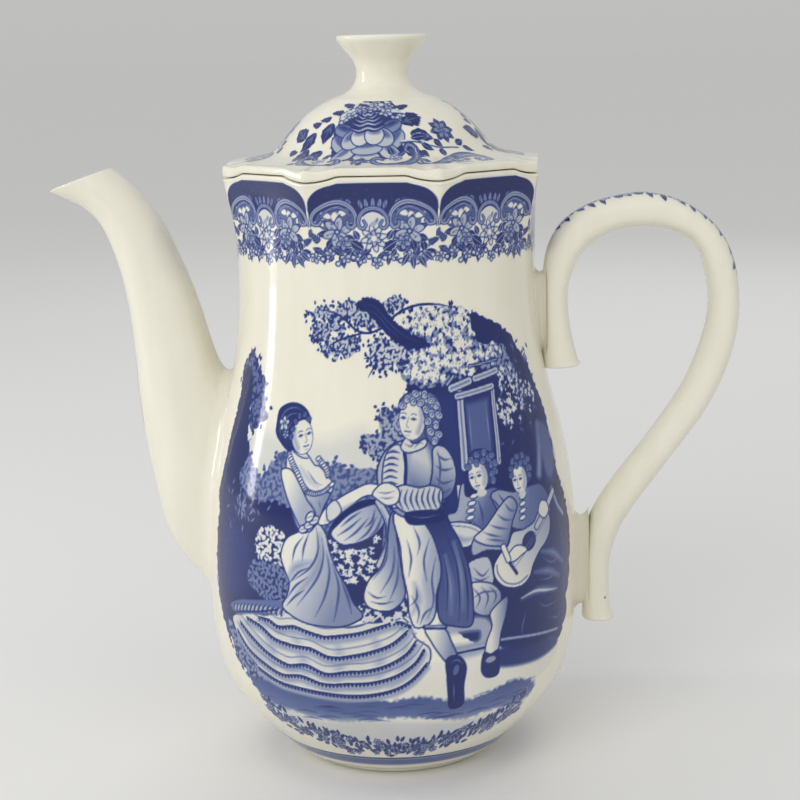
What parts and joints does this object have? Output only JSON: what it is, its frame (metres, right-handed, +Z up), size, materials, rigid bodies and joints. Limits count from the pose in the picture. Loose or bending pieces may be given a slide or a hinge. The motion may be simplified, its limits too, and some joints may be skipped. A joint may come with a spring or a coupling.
{
  "type": "coffee pot",
  "caption": "Tall pear-shaped glazed coffee pot with a panelled rim, long curved spout, open loop handle and a lift-off domed lid with a flared knob.",
  "frame": {"origin": "centre of the foot ring, on the surface that the pot stands on; the foot's axis is the Z axis, and the middle of the box round the whole pot is within 2 mm of it", "axes": "+Z up through the knob, -X towards the spout, +X towards the handle, -Y the decorated front"},
  "size_m": [0.2322, 0.1266, 0.245],
  "materials": {
    "glaze": "glossy cream glaze over a cobalt-blue transfer print",
    "foot_glaze": "wiped, nearly bare cream body"
  },
  "bodies": {
    "pot": {"body_shell": "glaze", "foot_ring": "foot_glaze", "spout": "glaze", "handle": "glaze", "handle_upper_pad": "glaze", "handle_lower_pad": "glaze"},
    "lid": {"lid": "glaze", "lid_collar": "glaze", "knob": "glaze"}
  },
  "joints": [
    {"name": "lid_lift", "type": "slide", "parent": "pot", "child": "lid", "axis": [0, 0, 1], "range_m": [0, 0.06]}
  ]
}
